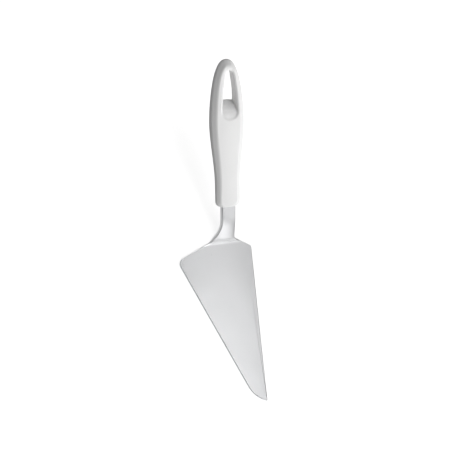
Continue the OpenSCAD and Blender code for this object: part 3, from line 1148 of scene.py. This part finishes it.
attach(body, "root")
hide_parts("handle_body")
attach(back, "root")
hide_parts("handle_back_cover")
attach(blade, "root")
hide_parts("blade")

# Studio: white paper that shows white to the camera, also in the steel, and keeps a soft shadow
studio = {
    "floor": 3.0,
    "floorDrop": 0.0002,
    "paper": 0.5,
    "paperRoughness": 0.95,
    "paperGlow": 0.8,
    "paperMirrored": 0.4,
    "world": 0.15,
    "wallSide": (-0.8, -0.55, 0.25),  # a pale wall behind and to the left, seen in the steel
    "wall": {"From Min": 0.3, "From Max": 0.55, "To Min": 0.17, "To Max": 0.54},
}
handleMiddle = (-0.05, 0.0, 0.02)
lamps = {  # place and aim in metres, the lamp's length and width, and its power
    "keyLamp": {"place": (1.0, 0.962, 0.486), "size": (1.2, 1.2), "power": 18.6,
                "mirrored": False},  # the steel would show it as a hard line
    "frontLamp": {"place": (1.322, 0.189, 0.588), "size": (1.1, 1.1), "power": 3.7},
    "leftLamp": {"place": (0.792, -0.577, 0.658), "size": (0.35, 0.35), "power": 0.35},
    "lowLeftLamp": {"place": (0.223, -1.47, 0.202), "size": (1.0, 1.0), "power": 0.3},
    "rightLamp": {"place": (0.495, 1.042, 0.323), "size": (0.6, 0.6), "power": 0.7},
    "faceLamp": {"place": (0.391, 0.385, 0.565), "size": (0.3, 0.3), "power": 0.25},
    "backLamp": {"place": (-0.35, 0.2, 0.6), "aim": (-0.35, 0.2, 0.0), "size": (0.3, 0.3), "power": 0.69},
    "bladeLamp": {"place": (0.05, 0.17, 0.5), "aim": (0.05, 0.17, 0.0), "size": (0.3, 0.03), "power": 0.119},
    "tipLamp": {"place": (0.20, 0.13, 0.5), "aim": (0.20, 0.13, 0.0), "size": (0.5, 0.03), "power": 0.10},
}


def mirroredRays(tree, path):
    mirrored = addNode(tree, "ShaderNodeMath", operation="MAXIMUM")
    tree.links.new(path.outputs["Is Glossy Ray"], mirrored.inputs[0])
    tree.links.new(path.outputs["Is Transmission Ray"], mirrored.inputs[1])
    return mirrored.outputs[0]


def makeFloor():
    mesh = bpy.data.meshes.new("floor")
    half = studio["floor"]
    corners = [(-half, -half, 0), (half, -half, 0), (half, half, 0), (-half, half, 0)]
    mesh.from_pydata(corners, [], [(0, 1, 2, 3)])
    made, shader = newMaterial("floorPaper")
    tree = made.node_tree
    shader.inputs["Base Color"].default_value = (studio["paper"],) * 3 + (1,)
    shader.inputs["Roughness"].default_value = studio["paperRoughness"]
    shader.inputs["Emission Color"].default_value = (1, 1, 1, 1)
    path = tree.nodes.new("ShaderNodeLightPath")
    inMirror = addNode(tree, "ShaderNodeMath", operation="MULTIPLY")
    tree.links.new(mirroredRays(tree, path), inMirror.inputs[0])
    inMirror.inputs[1].default_value = studio["paperMirrored"]
    glow = addNode(tree, "ShaderNodeMath", operation="MULTIPLY_ADD")
    tree.links.new(path.outputs["Is Camera Ray"], glow.inputs[0])
    glow.inputs[1].default_value = studio["paperGlow"]
    tree.links.new(inMirror.outputs[0], glow.inputs[2])
    tree.links.new(glow.outputs[0], shader.inputs["Emission Strength"])
    floor = newObject("floor", mesh, made)
    floor.location.z = -studio["floorDrop"]


def makeLamp(name, place, size, power, aim=handleMiddle, mirrored=True):
    lamp = bpy.data.lights.new(name, "AREA")
    lamp.shape = "DISK" if size[0] == size[1] else "RECTANGLE"
    lamp.size, lamp.size_y = size
    lamp.energy = power
    made = bpy.data.objects.new(name, lamp)
    made.location = place
    made.visible_glossy = mirrored
    made.rotation_euler = (Vector(place) - Vector(aim)).to_track_quat("Z", "Y").to_euler()
    scene.collection.objects.link(made)


def makeWorld():
    world = bpy.data.worlds.new("studio")
    scene.world = world
    world.use_nodes = True
    tree = world.node_tree
    light = tree.nodes["Background"]
    light.inputs["Color"].default_value = (1, 1, 1, 1)
    path = tree.nodes.new("ShaderNodeLightPath")
    place = tree.nodes.new("ShaderNodeTexCoord")
    side = addNode(tree, "ShaderNodeVectorMath", operation="DOT_PRODUCT")
    tree.links.new(place.outputs["Generated"], side.inputs[0])
    side.inputs[1].default_value = studio["wallSide"]
    wall = addNode(tree, "ShaderNodeMapRange", studio["wall"], {"Value": side.outputs["Value"]})
    base = addNode(tree, "ShaderNodeMapRange", {"To Min": studio["world"]},
                   {"Value": mirroredRays(tree, path), "To Max": wall.outputs[0]})
    level = addNode(tree, "ShaderNodeMapRange", {"To Max": 1.0},
                    {"Value": path.outputs["Is Camera Ray"], "To Min": base.outputs[0]})
    tree.links.new(level.outputs[0], light.inputs["Strength"])


makeFloor()
makeWorld()
for lampName, lampSize in lamps.items():
    makeLamp(lampName, **lampSize)
print("studio made")
